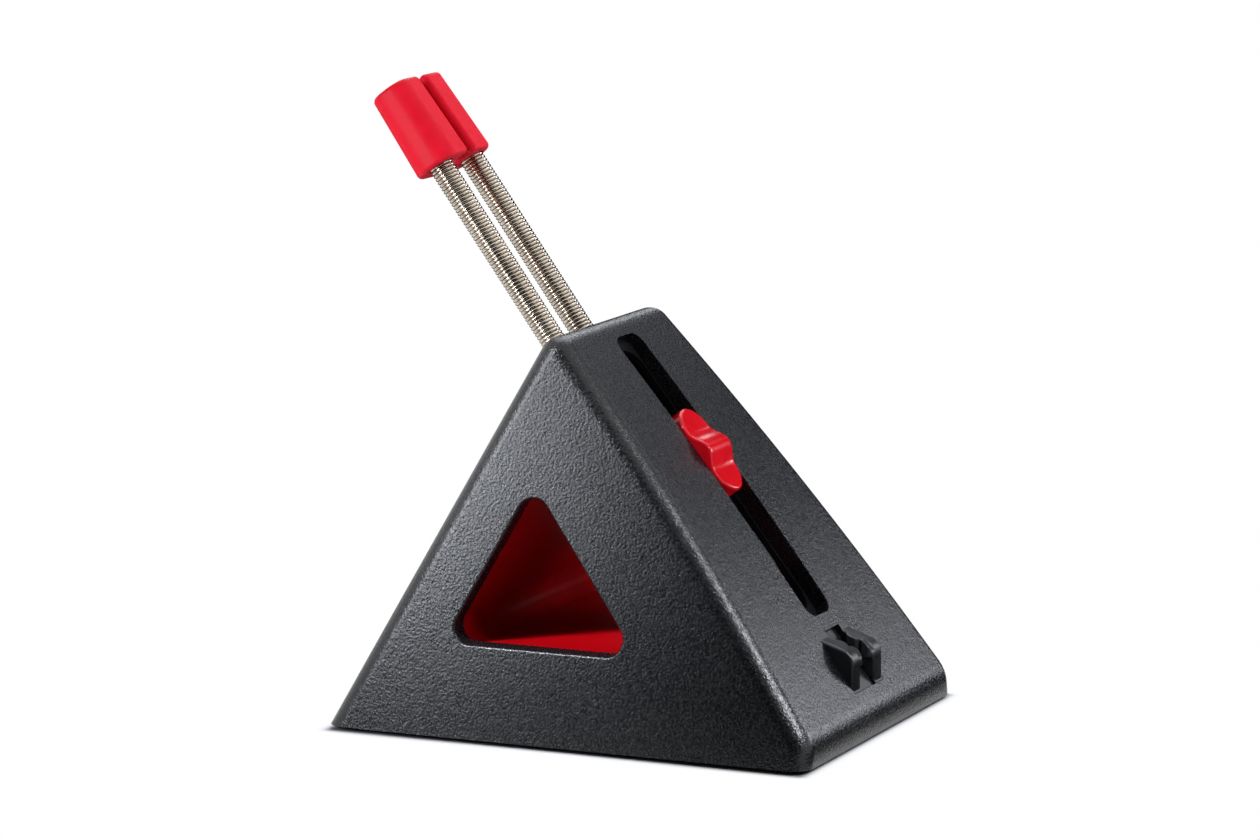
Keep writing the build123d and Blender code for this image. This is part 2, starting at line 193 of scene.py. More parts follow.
def mixColour(amount, first, second):
    # 6, 7 and 2 are the node's colour sockets
    return amount.node("ShaderNodeMix", {"data_type": "RGBA"}, {0: amount, 6: first, 7: second}, 2)


def bump(height, depth, strength=1.0):
    # depth in millimetres
    return height.node("ShaderNodeBump", None, {
        "Height": height, "Distance": depth * mm, "Strength": strength}, "Normal")


# finishes; grains, patches and depths are in millimetres
sparkGrain = {"dark": (0.003, 0.0032, 0.0038), "light": (0.011, 0.0116, 0.0136), "speckFrom": (0.40, 0.60),
              "grain": 0.52, "fine": 0.34, "depth": 0.15, "rough": (0.19, 0.30), "roughFrom": (0.42, 0.58),
              "coarseShare": 0.5, "fineShare": 0.25, "pitShare": 0.3, "cloud": 30.0, "cloudTone": (0.85, 1.1),
              "fixed": {"Specular IOR Level": 0.5}}
moulded = {"cloud": 14.0, "toneFrom": (0.38, 0.62), "cloudGloss": 0.6, "grainGloss": 0.4}
rolled = {"toneFrom": (0.36, 0.64)}


def paint(shader, tone, rough, normal, look):
    feed(shader.inputs["Base Color"], mixColour(tone, rgba(look["dark"]), rgba(look["light"])))
    feed(shader.inputs["Roughness"], rough)
    feed(shader.inputs["Normal"], normal)


def housingPlastic():
    look = sparkGrain
    material, shader, place = newMaterial("housingPlastic", look["fixed"])
    coarse = noise(place, look["grain"], roughness=0.6)
    fine = noise(place, look["fine"], roughness=0.65)
    pits = pebbles(place, look["grain"])
    grain = coarse * look["coarseShare"] + fine * look["fineShare"] + pits * look["pitShare"]
    speck = between(average(coarse, fine), 0.0, 1.0, *look["speckFrom"])
    cloud = between(noise(place, look["cloud"], detail=2.0), *look["cloudTone"])
    rough = between(coarse, *look["rough"], *look["roughFrom"])
    paint(shader, speck * cloud, rough, bump(grain, look["depth"]), look)
    return material


def mouldedPlastic(name, look):
    # plastics, rubbers and felt: two close tones, a grain and its own gloss
    material, shader, place = newMaterial(name, look.get("fixed", {}))
    grain = noise(place, look["grain"], roughness=0.6)
    cloud = noise(place, look.get("cloud", moulded["cloud"]), detail=2.0)
    tone = between(average(grain, cloud), 0.0, 1.0, *moulded["toneFrom"])
    rough = between(cloud * moulded["cloudGloss"] + grain * moulded["grainGloss"], *look["rough"])
    paint(shader, tone, rough, bump(grain, look["depth"]), look)
    return material


def steel(name, look):
    # plated or rolled metal: streaks along one direction and dull patches
    material, shader, place = newMaterial(name, {"Metallic": 1.0})
    stretched = place.node("ShaderNodeMapping", None, {"Vector": place, "Scale": look["stretch"]})
    streak = noise(stretched, look["grain"], detail=4.0, roughness=0.6)
    patch = noise(place, look["patch"])
    tone = between(average(streak, patch), 0.0, 1.0, *rolled["toneFrom"])
    paint(shader, tone, between(streak, *look["rough"]), bump(streak, look["depth"]), look)
    return material


glossRed = {"dark": (0.62, 0.0035, 0.010), "light": (0.70, 0.0055, 0.014), "grain": 2.4, "cloud": 9.0,
            "depth": 0.008, "rough": (0.14, 0.20),
            "fixed": {"Specular IOR Level": 0.25, "Coat Weight": 0.2, "Coat Roughness": 0.06}}
# the sled's red darkened as painted shade from the slot it sits in
sledRedPaintedShade = {"dark": (0.035, 0.0006, 0.0016), "light": (0.050, 0.0008, 0.0022), "grain": 1.2, "depth": 0.01,
           "rough": (0.40, 0.52), "fixed": {"Specular IOR Level": 0.1}}
linerRed = {"dark": (0.31, 0.0010, 0.003), "light": (0.36, 0.0016, 0.0045), "grain": 3.0, "cloud": 12.0,
            "depth": 0.012, "rough": (0.26, 0.36), "fixed": {"Specular IOR Level": 0.008}}
rubberRed = {"dark": (0.68, 0.006, 0.020), "light": (0.77, 0.010, 0.028), "grain": 0.20, "cloud": 5.0,
             "depth": 0.022, "rough": (0.46, 0.58), "fixed": {"Specular IOR Level": 0.14}}
satinDark = {"dark": (0.005, 0.0052, 0.006), "light": (0.010, 0.0104, 0.0115), "grain": 0.35, "depth": 0.012,
             "rough": (0.30, 0.40)}
innerBlack = {"dark": (0.006, 0.006, 0.007), "light": (0.012, 0.012, 0.013), "grain": 0.5, "depth": 0.03,
              "rough": (0.46, 0.60), "fixed": {"Specular IOR Level": 0.03}}
footRubber = {"dark": (0.012, 0.012, 0.012), "light": (0.026, 0.026, 0.026), "grain": 0.4, "depth": 0.05,
              "rough": (0.72, 0.88)}
pressedFelt = {"dark": (0.07, 0.07, 0.07), "light": (0.16, 0.16, 0.16), "grain": 0.3, "depth": 0.12,
               "rough": (0.88, 1.0)}
nickel = {"dark": (0.50, 0.43, 0.35), "light": (0.72, 0.65, 0.56), "stretch": (1.0, 1.0, 1.0), "grain": 0.8,
          "patch": 6.0, "depth": 0.004, "rough": (0.14, 0.24)}
zinc = {"dark": (0.46, 0.46, 0.48), "light": (0.66, 0.66, 0.68), "stretch": (1.0, 1.0, 0.3), "grain": 0.5,
        "patch": 3.0, "depth": 0.006, "rough": (0.26, 0.40)}
rolledSteel = {"dark": (0.26, 0.26, 0.27), "light": (0.40, 0.40, 0.41), "stretch": (0.08, 1.0, 1.0),
               "grain": 0.6, "patch": 12.0, "depth": 0.02, "rough": (0.34, 0.52)}

finishes = {
    "housing_plastic": housingPlastic(),
    "liner_red": mouldedPlastic("linerRed", linerRed),
    "base_plastic": mouldedPlastic("basePlastic", innerBlack),
    "ballast_steel": steel("ballastSteel", rolledSteel),
    "screw_steel": steel("screwSteel", zinc),
    "foot_rubber": mouldedPlastic("footRubber", footRubber),
    "track_plastic": mouldedPlastic("trackPlastic", innerBlack),
    "clip_plastic": mouldedPlastic("clipPlastic", satinDark),
    "slider_red": mouldedPlastic("sliderRed", glossRed),
    "pad_felt": mouldedPlastic("padFelt", pressedFelt),
    "spring_steel": steel("springSteel", nickel),
    "head_rubber": mouldedPlastic("headRubber", rubberRed),
}
print("finishes made:", len(finishes))


# mesh helpers
def placed(name, data):
    made = bpy.data.objects.new(name, data)
    bpy.context.scene.collection.objects.link(made)
    return made


def show(name, mesh, slot):
    mesh.materials.clear()
    mesh.materials.append(finishes[slot])
    return placed(name, mesh)


def rideOn(piece, body, slot, *stoodFor):
    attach(piece, body)
    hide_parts(*stoodFor)


def smoothed(mesh, sharpAngle):
    mesh.shade_smooth()
    mesh.set_sharp_from_angle(angle=radians(sharpAngle))


def evenNormals(piece):
    # flat faces keep their own normal and the roundings take up the turn
    modifier = piece.modifiers.new("evenNormals", "WEIGHTED_NORMAL")
    modifier.keep_sharp = True


def softRims(piece, chosen, width, sharpAngle=40.0, segments=3):
    # rounds only the sharp outward edges whose two ends are both chosen
    bm = bmesh.new()
    bm.from_mesh(piece.data)
    weight = bm.edges.layers.float.new("bevel_weight_edge")
    for edge in bm.edges:
        if edge.is_manifold and edge.is_convex and edge.calc_face_angle() > radians(sharpAngle):
            edge[weight] = float(all(chosen(vert.co) for vert in edge.verts))
    bm.to_mesh(piece.data)
    bm.free()
    modifier = piece.modifiers.new("softRims", "BEVEL")
    modifier.width = width * mm
    modifier.segments = segments
    modifier.limit_method = "WEIGHT"


def mergedCopy(node, name, weld, flatAngle):
    # the frame's mesh is loose triangles, so a copy is merged first
    bm = bmesh.new()
    bm.from_mesh(nodes[node].data)
    bmesh.ops.remove_doubles(bm, verts=bm.verts, dist=weld * mm)
    bmesh.ops.dissolve_limit(bm, angle_limit=radians(flatAngle), verts=bm.verts, edges=bm.edges)
    mesh = bpy.data.meshes.new(name)
    bm.to_mesh(mesh)
    bm.free()
    for extra in ("custom_normal", "sharp_face", "sharp_edge"):
        if extra in mesh.attributes:
            mesh.attributes.remove(mesh.attributes[extra])
    return mesh


def bridge(bm, first, second):
    count = len(first)
    for i in range(count):
        j = (i + 1) % count
        bm.faces.new((first[i], first[j], second[j], second[i]))


def addRings(bm, rings):
    loops = [[bm.verts.new(point) for point in ring] for ring in rings]
    for first, second in zip(loops, loops[1:]):
        bridge(bm, first, second)
    return loops


def ringEdges(bm, ring):
    return [bm.edges.get((a, b)) for a, b in zip(ring, ring[1:] + ring[:1])]


def meshFrom(bm, name, matrix, weld=0.0005):
    # the mesh is made in millimetres
    bmesh.ops.remove_doubles(bm, verts=bm.verts, dist=weld)
    bmesh.ops.recalc_face_normals(bm, faces=bm.faces)
    mesh = bpy.data.meshes.new(name)
    bm.to_mesh(mesh)
    bm.free()
    mesh.transform(matrix @ Matrix.Scale(mm, 4))
    return mesh


def arcPoints(centre, radius, start, end, steps):
    # angles in degrees, both ends included
    turn = [radians(start + (end - start) * i / steps) for i in range(steps + 1)]
    return [(centre[0] + radius * cos(a), centre[1] + radius * sin(a)) for a in turn]


def fullCircle(centre, radius, steps):
    return arcPoints(centre, radius, 0, 360, steps)[:-1]


def quarterTurn(steps):
    return [radians(90 * i / steps) for i in range(steps + 1)]


def roundedEdge(radius, steps):
    # distances from the two faces that meet at the edge, from one face round to the other
    return [(radius * (1 - sin(turn)), radius * (1 - cos(turn))) for turn in quarterTurn(steps)]


# housing
housing = {"sharpAngle": 52.0, "flatAngle": 0.12, "weld": 0.002, "rim": 0.35, "slotHalf": 5.7,
           "slotStart": 7.5, "clipHalf": 7.9, "clipStart": 80.11, "clipEnd": 94.3, "exitHalf": 11.0,
           "exitLow": 60.0, "near": 0.1}


def onHousingRim(point):
    # on the slope around the slot and the clip, or on the back around the springs' opening
    across, out, down = (slideFrame.inverted() @ point) / mm * Vector((1, 1, -1))
    near = housing["near"]
    if out < near:
        return exitRim(point / mm)
    if abs(down - housing["clipStart"]) < 2 * near:
        return False  # the step between slot and clip stays sharp
    half = housing["clipHalf"] if down > housing["clipStart"] else housing["slotHalf"]
    return abs(across) < half + near and housing["slotStart"] - near < down < housing["clipEnd"]


def exitRim(point):
    near = housing["near"]
    back = wedge["middleX"] - wedge["length"] / 2 + backRun() * point.z
    return abs(point.x - back) < near and abs(point.y) < housing["exitHalf"] and point.z > housing["exitLow"]


mesh = mergedCopy("housing", "housingShell", housing["weld"], housing["flatAngle"])
housingShell = show("housing_shell", mesh, "housing_plastic")
softRims(housingShell, onHousingRim, housing["rim"])
smoothed(mesh, housing["sharpAngle"])
evenNormals(housingShell)
rideOn(housingShell, "base", "housing_plastic", "housing")
print("housing:", len(mesh.polygons), "faces")


# window liner: a triangular tube with soft lips, cut to the leaning sides
liner = {"backMargin": 13.5, "slopeMargin": 20.8, "sill": 19.3, "corner": 3.4, "reveal": 0.6, "wall": 1.5,
         "sideWall": 4.2, "lip": 0.5, "lipSteps": 4, "cornerSteps": 12, "sharpAngle": 60.0}


def linerOutline(grow):
    # rounded triangle in the X-Z plane; its corners stay concentric as it grows
    run = backRun()
    backTurn = sqrt(1 + run ** 2)
    backLine = wedge["middleX"] - wedge["length"] / 2 + (liner["backMargin"] + liner["corner"]) * backTurn
    sillZ = liner["sill"] + liner["corner"]
    down = Vector((-slideUp.x, -slideUp.z))
    out = Vector((slideUp.z, -slideUp.x))
    start = Vector((slope["ridgeX"], slope["ridgeZ"])) - out * (liner["slopeMargin"] + liner["corner"])
    lowBack = (backLine + run * sillZ, sillZ)
    lowFront = (start.x + down.x * (sillZ - start.y) / down.y, sillZ)
    rise = (backLine + run * start.y - start.x) / (down.x - run * down.y)
    top = (start.x + down.x * rise, start.y + down.y * rise)
    radius = liner["corner"] + grow
    backAngle = 180 - 180 / pi * atan2(run, 1)
    slopeAngle = 180 / pi * atan2(out.y, out.x)
    steps = liner["cornerSteps"]
    return (arcPoints(lowBack, radius, backAngle, 270, steps)
            + arcPoints(lowFront, radius, -90, slopeAngle, steps)
            + arcPoints(top, radius, slopeAngle, backAngle, steps))


def sideDepth(z):
    run = (wedge["depth"] - wedge["ridgeLength"]) / 2 / slope["ridgeZ"]
    return wedge["depth"] / 2 - run * z - liner["sideWall"] * sqrt(1 + run ** 2)


def linerRing(grow, side, back):
    return [Vector((x, side * (sideDepth(z) - back), z)) for x, z in linerOutline(grow)]


def linerLip(side):
    # from the outer face over the lip to the inner face
    inner, outer = liner["reveal"], liner["reveal"] + liner["wall"]
    lip = liner["lip"]
    turns = quarterTurn(liner["lipSteps"])
    rings = [linerRing(outer - lip + lip * cos(turn), side, lip - lip * sin(turn)) for turn in turns]
    return rings + [linerRing(inner + lip - lip * sin(turn), side, lip - lip * cos(turn)) for turn in turns]


bm = bmesh.new()
loops = addRings(bm, linerLip(-1) + linerLip(1)[::-1])
bridge(bm, loops[-1], loops[0])
mesh = meshFrom(bm, "windowLiner", Matrix.Identity(4))
smoothed(mesh, liner["sharpAngle"])
windowLiner = show("window_liner_tube", mesh, "liner_red")
evenNormals(windowLiner)
rideOn(windowLiner, "base", "liner_red", "window_liner")
print("window liner:", len(mesh.polygons), "faces")


# slider knob: two pads and a hump on a stadium plan
knob = {"middle": 36.7, "length": 19.9, "width": 11.0, "low": -2.0, "pad": 0.6, "hump": 2.0, "humpFoot": 4.9,
        "rim": 0.6, "rimSteps": 6, "topRings": 12, "dish": 0.15, "dishRun": 4.0,
        "neckLength": 15.0, "neckWidth": 10.0, "neckLow": -3.6, "sharpAngle": 50.0}


def smoothStep(t):
    t = min(1.0, max(0.0, t))
    return t * t * (3 - 2 * t)


def knobHeight(along, across):
    # along the slope from the knob's middle
    rise = 0.5 + 0.5 * cos(pi * min(1.0, abs(along) / knob["humpFoot"]))
    dish = knob["dish"] * (1 - rise) * smoothStep((knob["length"] / 2 - abs(along)) / knob["dishRun"])
    crown = 1 - (2 * across / knob["width"]) ** 2
    return bowAt(knob["middle"]) + knob["pad"] + knob["hump"] * rise - dish * crown


def stadium(length, width, inset, steps=18, straightSteps=56):
    radius = width / 2 - inset
    half = (length - width) / 2
    points = []
    for i in range(straightSteps):
        points.append((-half + 2 * half * i / straightSteps, -radius))
    points += arcPoints((half, 0), radius, -90, 90, steps)[:-1]
    for i in range(straightSteps):
        points.append((half - 2 * half * i / straightSteps, radius))
    points += arcPoints((-half, 0), radius, 90, 270, steps)[:-1]
    return points


def knobRing(inset, drop):
    ring = []
    for along, across in stadium(knob["length"], knob["width"], inset):
        ring.append(Vector((across, knobHeight(along, across) - drop, along)))
    return ring


bm = bmesh.new()
plan = stadium(knob["length"], knob["width"], 0)
rings = [[Vector((across, knob["low"], along)) for along, across in plan]]
for drop, inset in roundedEdge(knob["rim"], knob["rimSteps"]):
    rings.append(knobRing(inset, drop))
for i in range(1, knob["topRings"] + 1):
    inset = knob["rim"] + (knob["width"] / 2 - knob["rim"]) * i / knob["topRings"]
    rings.append(knobRing(inset, 0))
loops = addRings(bm, rings)
bm.faces.new(loops[0])
neck = stadium(knob["neckLength"], knob["neckWidth"], 0)
neckLoops = addRings(bm, [[Vector((x, h, z)) for z, x in neck] for h in (knob["neckLow"], knob["low"])])
for loop in neckLoops:
    bm.faces.new(loop)
mesh = meshFrom(bm, "sliderKnob", slideFrame @ Matrix.Translation((0, 0, -knob["middle"] * mm)))
smoothed(mesh, knob["sharpAngle"])
sliderKnob = show("slider_knob_cap", mesh, "slider_red")
evenNormals(sliderKnob)
rideOn(sliderKnob, "slider", "slider_red", "slider_knob")
print("knob:", len(mesh.polygons), "faces")


# cable head: rounded block with a keyhole groove and two spring holes
head = {"start": 41.6, "length": 19.0, "width": 22.6, "back": 5.8, "front": 4.7, "backRadius": 5.1,
        "frontRadius": 4.4, "taper": 2.0, "grooveRadius": 2.05, "mouth": 2.6, "mouthRound": 1.3, "rim": 0.9,
        "springHole": 2.75, "holeDepth": 3.0, "rimSteps": 5, "sideRings": 6, "lipSteps": 6, "grooveSteps": 24,
        "cornerSteps": 14, "holeSteps": 28, "sharpAngle": 55.0}


def headOutline(inset, narrow):
    wide = head["width"] / 2 - inset - narrow
    front = head["front"] - inset - narrow
    back = head["back"] - inset - narrow
    frontRadius = head["frontRadius"] - inset - narrow
    backRadius = head["backRadius"] - inset - narrow
    groove = head["grooveRadius"] + inset
    half = head["mouth"] / 2 + inset
    soft = head["mouthRound"] - inset
    meets = 180 / pi * atan2(sqrt(groove ** 2 - half ** 2), half)
    lipY = front - soft
    points = arcPoints((half + soft, lipY), soft, 90, 180, head["lipSteps"])
    points += arcPoints((0, arm["grooveOut"]), groove, meets, meets - 180 - 2 * meets, head["grooveSteps"])
    points += arcPoints((-half - soft, lipY), soft, 0, 90, head["lipSteps"])
    corners = ((-wide + frontRadius, front - frontRadius, frontRadius, 90),
               (-wide + backRadius, -back + backRadius, backRadius, 180),
               (wide - backRadius, -back + backRadius, backRadius, 270),
               (wide - frontRadius, front - frontRadius, frontRadius, 0))
    for x, y, radius, start in corners:
        points += arcPoints((x, y), radius, start, start + 90, head["cornerSteps"])
    return points


def headRing(height, inset):
    narrow = tan(radians(head["taper"])) * height
    return [Vector((x, y, head["start"] + height)) for x, y in headOutline(inset, narrow)]


def holeRing(across, depth):
    circle = fullCircle((across, 0), head["springHole"], head["holeSteps"])
    return [Vector((x, y, head["start"] + depth)) for x, y in circle]


bm = bmesh.new()
rimShape = roundedEdge(head["rim"], head["rimSteps"])
rings = [headRing(height, inset) for height, inset in reversed(rimShape)]
sideLength = head["length"] - 2 * head["rim"]
for i in range(1, head["sideRings"]):
    rings.append(headRing(head["rim"] + sideLength * i / head["sideRings"], 0))
rings += [headRing(head["length"] - height, inset) for height, inset in rimShape]
loops = addRings(bm, rings)
bmesh.ops.triangle_fill(bm, use_beauty=True, use_dissolve=False, edges=ringEdges(bm, loops[-1]))
rimEdges = ringEdges(bm, loops[0])
for side in (-1, 1):
    across = side * arm["springSpacing"] / 2
    hole = addRings(bm, [holeRing(across, depth) for depth in (0, head["holeDepth"])])
    bm.faces.new(hole[1])
    rimEdges += ringEdges(bm, hole[0])
bmesh.ops.triangle_fill(bm, use_beauty=True, use_dissolve=False, edges=rimEdges)
mesh = meshFrom(bm, "cableHead", armFrame)
smoothed(mesh, head["sharpAngle"])
cableHead = show("cable_head_grip", mesh, "head_rubber")
evenNormals(cableHead)
rideOn(cableHead, "head", "head_rubber", "cable_head")
print("cable head:", len(mesh.polygons), "faces")


# cable clip: a sunk floor, two fins with rounded edges and two grip lobes on each
clip = {"start": 80.26, "end": 94.08, "half": 7.75, "low": -2.2, "floor": -0.4, "flange": 1.35,
        "flangeLow": -3.2, "finEnd": 94.03, "finThickness": 3.9, "finHeight": 8.0, "finDrop": 18.0,
        "peakRadius": 3.6, "peakSteps": 14, "edge": 0.6, "edgeSteps": 5, "lobeRadius": 1.7, "lobeSunk": 0.1,
        "lobeDepth": 3.2, "lobePlaces": (1.3, 4.5), "lobeEdge": 0.4, "lobeSoft": 0.3, "lobeSteps": 36,
        "below": 0.03, "play": 0.15, "sharpAngle": 40.0}


def onSlide(across, out, down):
    # millimetres, in the shared frame
    return (slideFrame @ (Vector((across, out, -down)) * mm)) / mm


finFront, finFoot = onSlide(0, 0, clip["finEnd"]).xz
finDrop = radians(clip["finDrop"])
peakMiddle = (finFront - clip["peakRadius"],
              finFoot + clip["finHeight"] - clip["peakRadius"] * tan((pi / 2 - finDrop) / 2))


def finTop(x):
    # height of the fins' top edge, with its rounded peak
    past = x - peakMiddle[0]
    if past > clip["peakRadius"] * sin(finDrop):
        return peakMiddle[1] + sqrt(max(0.0, clip["peakRadius"] ** 2 - past ** 2))
    return finFoot + clip["finHeight"] + (finFront - x) * tan(finDrop)


def finRing(across, inset):
    # up the front, over the peak, along the top and back below the slope
    slant = slideUp.z / -slideUp.x
    run = (clip["finHeight"] - inset / cos(finDrop)) / (slant - tan(finDrop))
    foot = Vector((finFront - inset, finFoot))
    root = Vector((finFront - run, finFoot + run * slant))
    sunk = Vector((slideUp.z, -slideUp.x)) * clip["low"]
    peak = arcPoints(peakMiddle, clip["peakRadius"] - inset, 0, 90 - clip["finDrop"], clip["peakSteps"])
    return [Vector((x, across, z)) for x, z in [foot + sunk, foot, *peak, root, root + sunk]]


def finRings(side):
    inner = clip["half"] - clip["finThickness"]
    shape = roundedEdge(clip["edge"], clip["edgeSteps"])
    rings = [finRing(side * (inner + back), inset) for inset, back in shape]
    return rings + [finRing(side * (clip["half"] - back), inset) for inset, back in reversed(shape)]


def lobeRings(side, place):
    # two rings at the lower end, then three that follow the fin's top edge
    across = side * (clip["half"] - clip["finThickness"] + clip["lobeSunk"])
    low = finFoot + clip["finHeight"] + place * tan(finDrop) - clip["lobeDepth"]
    edge = clip["lobeEdge"]
    soft = clip["lobeSoft"] * edge
    rings = []
    for inset, drop in ((edge, None), (0, None), (0, edge), (soft, soft), (edge, 0)):
        ring = []
        for x, y in fullCircle((finFront - place, across), clip["lobeRadius"] - inset, clip["lobeSteps"]):
            x = min(x, finFront - inset)
            z = low + edge - inset if drop is None else finTop(x) - clip["below"] - drop
            ring.append(Vector((x, y, z)))
        rings.append(ring)
    return rings


def slideBlock(sides, ends, low, *highs):
    # the top may slope from one end to the other
    corners = [(x, i) for i in (0, 1) for x in (sides if i else sides[::-1])]
    levels = ((low, low), (highs[0], highs[-1]))
    return [[onSlide(x, level[i], ends[i]) for x, i in corners] for level in levels]


bm = bmesh.new()
half, reach = clip["half"], clip["half"] + clip["flange"]
ends = (clip["start"], clip["end"])
flangeEnds = (ends[0] - clip["flange"], ends[1] + clip["flange"])
shells = [slideBlock((-half, half), ends, clip["low"], clip["floor"]),
          slideBlock((-reach, reach), flangeEnds, clip["flangeLow"], clip["low"])]
for side in (-1, 1):
    shells.append(finRings(side))
    sides = (side * (half - clip["finThickness"]), side * half)
    flush = (ends[0] - clip["play"], ends[1])
    shells.append(slideBlock(sides, flush, clip["low"], *[bowAt(end) - clip["below"] for end in flush]))
    shells += [lobeRings(side, place) for place in clip["lobePlaces"]]
for rings in shells:
    loops = addRings(bm, rings)
    for loop in (loops[0], loops[-1]):
        bm.faces.new(loop)
mesh = meshFrom(bm, "cableClip", Matrix.Identity(4))
smoothed(mesh, clip["sharpAngle"])
cableClip = show("cable_clip_fins", mesh, "clip_plastic")
evenNormals(cableClip)
rideOn(cableClip, "base", "clip_plastic", "cable_clip")
print("cable clip:", len(mesh.polygons), "faces")


# geometry node trees
def newTree(name, inputs):
    # inputs holds the names for each kind of socket
    tree = bpy.data.node_groups.new(name, "GeometryNodeTree")
    tree.interface.new_socket("Geometry", in_out="INPUT", socket_type="NodeSocketGeometry")
    for kind, labels in inputs.items():
        for label in labels:
            tree.interface.new_socket(label, in_out="INPUT", socket_type="NodeSocket" + kind)
    tree.interface.new_socket("Geometry", in_out="OUTPUT", socket_type="NodeSocketGeometry")
    given = tree.nodes.new("NodeGroupInput")
    return tree, {socket.name: Wire(socket) for socket in given.outputs if socket.name}


def endTree(tree, shape, finish):
    shaded = shape.node("GeometryNodeSetShadeSmooth", None, {"Geometry": shape})
    real = shape.node("GeometryNodeRealizeInstances", None, {"Geometry": shaded})
    painted = shape.node("GeometryNodeSetMaterial", None, {"Geometry": real, "Material": finish})
    feed(tree.nodes.new("NodeGroupOutput").inputs["Geometry"], painted)


def builtMesh(name, tree, values, points=()):
    source = bpy.data.meshes.new(name + "Source")
    source.from_pydata([Vector(p) for p in points], [], [])
    holder = placed(name + "Holder", source)
    modifier = holder.modifiers.new("build", "NODES")
    modifier.node_group = tree
    for item in tree.interface.items_tree:
        if item.in_out == "INPUT" and item.name in values:
            modifier[item.identifier] = values[item.name]
    graph = bpy.context.evaluated_depsgraph_get()
    mesh = bpy.data.meshes.new_from_object(holder.evaluated_get(graph))
    holder.modifiers.clear()
    bpy.data.objects.remove(holder)
    mesh.name = name
    return mesh


# springs: one wound wire each
spring = {"start": -41.7, "end": 51.5, "diameter": 5.2, "wire": 0.75, "pitch": 0.76, "perTurn": 22,
          "wireSides": 7, "bendFrom": 25.0, "bendTo": 37.0}

coilTree, given = newTree("woundSpring", {
    "Float": ("Turns", "Coil Radius", "Length", "Wire Radius"),
    "Int": ("Points Per Turn", "Wire Sides"),
    "Material": ("Finish",)})
start = given["Turns"]
path = start.node("GeometryNodeCurveSpiral", None, {
    "Resolution": given["Points Per Turn"], "Rotations": given["Turns"], "Start Radius": given["Coil Radius"],
    "End Radius": given["Coil Radius"], "Height": given["Length"]})
section = start.node("GeometryNodeCurvePrimitiveCircle", {"mode": "RADIUS"}, {
    "Resolution": given["Wire Sides"], "Radius": given["Wire Radius"]})
wire = start.node("GeometryNodeCurveToMesh", None, {
    "Curve": path, "Profile Curve": section, "Fill Caps": True})
endTree(coilTree, wire, given["Finish"])

springLength = spring["end"] - spring["start"]
coilRadius = (spring["diameter"] - spring["wire"]) / 2
for side, name in ((1, "near"), (-1, "far")):
    mesh = builtMesh("spring_coil_" + name, coilTree, {
        "Turns": springLength / spring["pitch"], "Coil Radius": coilRadius * mm,
        "Length": (springLength - spring["wire"]) * mm, "Wire Radius": spring["wire"] / 2 * mm,
        "Points Per Turn": spring["perTurn"], "Wire Sides": spring["wireSides"],
        "Finish": finishes["spring_steel"]})
    foot = (side * arm["springSpacing"] / 2 * mm, 0, (spring["start"] + spring["wire"] / 2) * mm)
    mesh.transform(armFrame @ Matrix.Translation(foot))
    coil = show("spring_coil_" + name, mesh, "spring_steel")
    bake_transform(coil)
    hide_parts("spring_" + name)
    print("spring", name, len(mesh.polygons), "faces")


# screws under the base
baseScrews = {"headRadius": 2.4, "headHeight": 1.0, "shankRadius": 1.2, "shankLength": 8.0, "seat": 1.2,
              "recessLength": 2.6, "recessWidth": 0.65, "recessDepth": 0.6, "domeSegments": 32,
              "domeRings": 16, "shankSides": 20, "shankSunk": 0.2, "cutterSpan": 3, "sharpAngle": 35.0}

screwTree, given = newTree("crossScrew", {
    "Float": ("Head Radius", "Head Height", "Shank Radius", "Shank Length", "Recess Length", "Recess Width",
              "Recess Depth"),
    "Material": ("Finish",)})
points = given["Geometry"]


def lifted(shape, height):
    offset = shape.node("ShaderNodeCombineXYZ", None, {"Z": height})
    return shape.node("GeometryNodeTransform", None, {"Geometry": shape, "Translation": offset})


def boxAt(across, along, tall, height):
    size = across.node("ShaderNodeCombineXYZ", None, {"X": across, "Y": along, "Z": tall})
    return lifted(across.node("GeometryNodeMeshCube", None, {"Size": size}), height)


# a flattened ball without its upper half, with a cross cut into it from below
headRadius, headHeight = given["Head Radius"], given["Head Height"]
dome = points.node("GeometryNodeMeshUVSphere", None, {
    "Segments": baseScrews["domeSegments"], "Rings": baseScrews["domeRings"], "Radius": headRadius})
flatten = points.node("ShaderNodeCombineXYZ", None, {"X": 1.0, "Y": 1.0, "Z": headHeight / headRadius})
dome = points.node("GeometryNodeTransform", None, {"Geometry": dome, "Scale": flatten})
recessLength, recessWidth = given["Recess Length"], given["Recess Width"]
recessTall = given["Recess Depth"] * 2
barAcross = boxAt(recessLength, recessWidth, recessTall, headHeight * -1)
barAlong = boxAt(recessWidth, recessLength, recessTall, headHeight * -1)
cutterWide = headRadius * baseScrews["cutterSpan"]
upperHalf = boxAt(cutterWide, cutterWide, headHeight * 2, headHeight)
cutters = points.node("GeometryNodeJoinGeometry", None, {})
for cutter in (barAcross, barAlong, upperHalf):
    feed(cutters.socket.node.inputs["Geometry"], cutter)
cutHead = points.node("GeometryNodeMeshBoolean", {"operation": "DIFFERENCE"}, {
    "Mesh 1": dome, "Mesh 2": cutters})
shank = points.node("GeometryNodeMeshCylinder", {"fill_type": "NGON"}, {
    "Vertices": baseScrews["shankSides"], "Radius": given["Shank Radius"],
    "Depth": given["Shank Length"]}, "Mesh")
shank = lifted(shank, given["Shank Length"] * 0.5 - headHeight * baseScrews["shankSunk"])
whole = points.node("GeometryNodeJoinGeometry", None, {})
for part in (cutHead, shank):
    feed(whole.socket.node.inputs["Geometry"], part)
onPoints = points.node("GeometryNodeInstanceOnPoints", None, {"Points": points, "Instance": whole})
endTree(screwTree, onPoints, given["Finish"])

